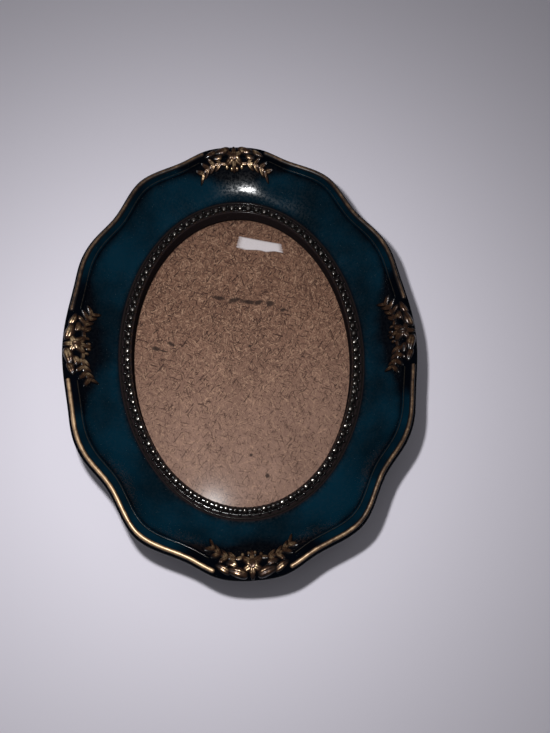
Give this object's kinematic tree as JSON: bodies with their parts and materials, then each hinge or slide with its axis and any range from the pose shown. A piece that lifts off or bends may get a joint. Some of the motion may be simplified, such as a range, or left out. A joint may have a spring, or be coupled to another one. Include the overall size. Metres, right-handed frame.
{
  "type": "oval picture frame",
  "caption": "Scalloped oval picture frame with a scooped cove, beaded sight edge, floral sprays, gilded rim rods, glass, backing board, folding easel strut and hanging ring.",
  "frame": {"origin": "on the table under the middle of the frame, which lies face up", "axes": "+X to the right and +Y to the top of the picture, +Z out of the glass"},
  "size_m": [0.1392, 0.1808, 0.0307],
  "materials": {
    "teal_lacquer": "gloss lacquer, dark teal",
    "worn_gilding": "satin gilding, rubbed",
    "dark_bronze": "satin, rubbed on the high points",
    "rubbed_bronze": "satin, rubbed on the high points",
    "glass": "polished",
    "paper": "matt",
    "fibreboard": "matt, pressed fibres",
    "velvet": "flocked, black",
    "brassed_steel": "satin"
  },
  "bodies": {
    "frame": {"frame_body": "teal_lacquer", "rim_rod_top_right": "worn_gilding", "rim_rod_top_left": "worn_gilding", "rim_rod_bottom_right": "worn_gilding", "rim_rod_bottom_left": "worn_gilding", "pearl_bead_ring": "dark_bronze", "seed_bead_ring": "dark_bronze", "floral_spray_right": "rubbed_bronze", "floral_spray_top": "rubbed_bronze", "floral_spray_left": "rubbed_bronze", "floral_spray_bottom": "rubbed_bronze", "glass_pane": "glass", "paper_scrap": "paper", "backing_board": "fibreboard", "board_velvet": "velvet", "hinge_board_leaf": "brassed_steel", "hinge_pin": "brassed_steel", "board_leaf_tacks": "brassed_steel", "turn_button_screws": "brassed_steel", "hanger_plate": "brassed_steel", "hanger_rivet": "brassed_steel"},
    "strut": {"easel_strut": "fibreboard", "strut_velvet": "velvet", "hinge_strut_leaf": "brassed_steel", "strut_leaf_rivets": "brassed_steel"},
    "ring": {"hanger_ring": "brassed_steel"},
    "button_upper_right": {"turn_button_upper_right": "brassed_steel"},
    "button_lower_right": {"turn_button_lower_right": "brassed_steel"},
    "button_upper_left": {"turn_button_upper_left": "brassed_steel"},
    "button_lower_left": {"turn_button_lower_left": "brassed_steel"}
  },
  "joints": [
    {"name": "strut_hinge", "type": "hinge", "parent": "frame", "child": "strut", "pos_m": [0, 0.015, 0.00415], "axis": [1, 0, 0], "range_deg": [0, 35]},
    {"name": "ring_swing", "type": "hinge", "parent": "frame", "child": "ring", "pos_m": [0, 0.054, 0.0044], "axis": [-1, 0, 0], "range_deg": [0, 165]},
    {"name": "button_upper_right_turn", "type": "hinge", "parent": "frame", "child": "button_upper_right", "pos_m": [0.04213, 0.04769, 0.0055], "axis": [0, 0, 1], "range_deg": [-90, 90]},
    {"name": "button_lower_right_turn", "type": "hinge", "parent": "frame", "child": "button_lower_right", "pos_m": [0.04213, -0.04769, 0.0055], "axis": [0, 0, 1], "range_deg": [-90, 90]},
    {"name": "button_upper_left_turn", "type": "hinge", "parent": "frame", "child": "button_upper_left", "pos_m": [-0.04213, 0.04769, 0.0055], "axis": [0, 0, 1], "range_deg": [-90, 90]},
    {"name": "button_lower_left_turn", "type": "hinge", "parent": "frame", "child": "button_lower_left", "pos_m": [-0.04213, -0.04769, 0.0055], "axis": [0, 0, 1], "range_deg": [-90, 90]}
  ]
}
